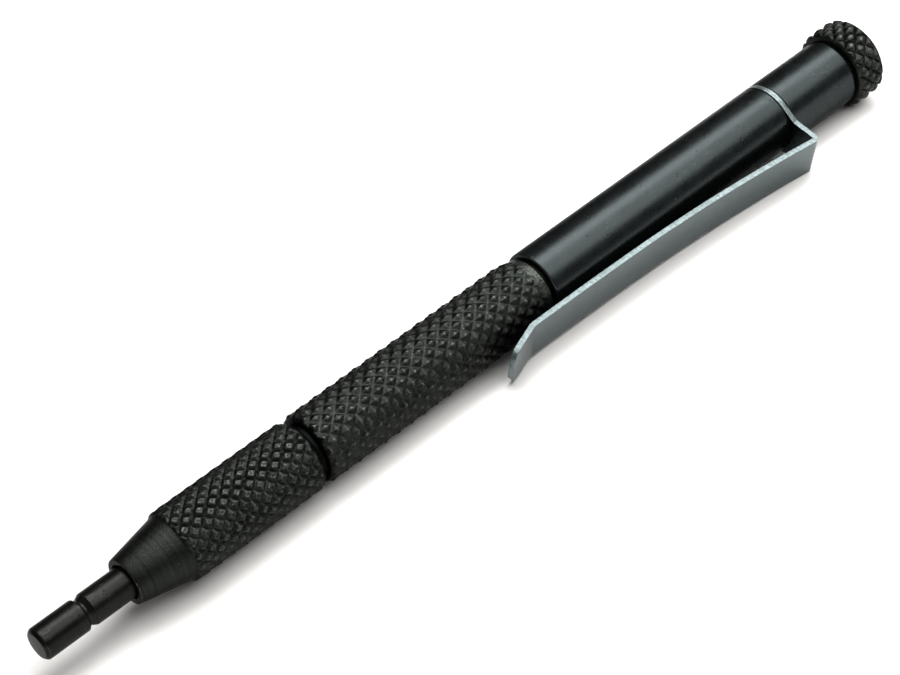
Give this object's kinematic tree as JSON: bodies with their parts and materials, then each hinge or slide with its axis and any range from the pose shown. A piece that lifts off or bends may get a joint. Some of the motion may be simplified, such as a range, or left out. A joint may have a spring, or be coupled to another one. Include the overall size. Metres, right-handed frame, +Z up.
{
  "type": "pocket scriber",
  "caption": "Slim steel marking-out scriber: knurled chuck nut and grip, smooth barrel, pocket clip and knurled end knob, with its blade stowed blunt end out.",
  "frame": {"origin": "under the middle of the bounding box, on the surface that the tool lies on", "axes": "+X along the tool from nose to knob, +Z up with the tool lying on its side, -Y towards the clip"},
  "size_m": [0.12, 0.0126, 0.0097],
  "materials": {
    "blade_black_oxide": "black oxide, fine turned",
    "black_oxide_knurled": "black oxide, diamond knurled",
    "black_oxide_smooth": "black oxide, satin",
    "zinc_plate": "bright zinc plate",
    "spring_steel": "oiled spring steel",
    "carbide": "ground tungsten carbide"
  },
  "bodies": {
    "handle": {"grip_body": "black_oxide_knurled", "barrel": "black_oxide_smooth"},
    "collet": {"collet": "spring_steel"},
    "nut": {"chuck_nut": "black_oxide_knurled"},
    "blade": {"scriber_blade": "blade_black_oxide", "carbide_point": "carbide"},
    "clip": {"clip_ring": "zinc_plate"},
    "clip_spring": {"clip_arm": "zinc_plate"},
    "sleeve": {"end_sleeve": "black_oxide_smooth"},
    "knob": {"knob_screw": "black_oxide_knurled"}
  },
  "joints": [
    {"name": "collet_slide", "type": "slide", "parent": "handle", "child": "collet", "axis": [-1, 0, 0], "range_m": [0, 0.006]},
    {"name": "nut_turn", "type": "hinge", "parent": "collet", "child": "nut", "pos_m": [-0.0418, 0.00146, 0.00486], "axis": [-1, 0, 0], "range_deg": [0, 2880.5]},
    {"name": "blade_slide", "type": "slide", "parent": "collet", "child": "blade", "axis": [-1, 0, 0], "range_m": [-0.01, 0.049]},
    {"name": "clip_swivel", "type": "hinge", "parent": "handle", "child": "clip", "pos_m": [0.04481, 0.00146, 0.00486], "axis": [1, 0, 0], "continuous": true},
    {"name": "clip_flex", "type": "hinge", "parent": "clip", "child": "clip_spring", "pos_m": [0.04481, -0.00439, 0.0028], "axis": [0, -0.3329, 0.9429], "range_deg": [-0.3, 8], "stiffness_Nm_per_rad": 1},
    {"name": "sleeve_slide", "type": "slide", "parent": "handle", "child": "sleeve", "axis": [1, 0, 0], "range_m": [0, 0.008]},
    {"name": "knob_turn", "type": "hinge", "parent": "sleeve", "child": "knob", "pos_m": [0.0558, 0.00146, 0.00486], "axis": [1, 0, 0], "range_deg": [0, 3600.5]}
  ],
  "couplings": [
    {"joint": "nut_turn", "follows": "collet_slide", "rad_per_m": 8377.6},
    {"joint": "knob_turn", "follows": "sleeve_slide", "rad_per_m": 7854}
  ]
}
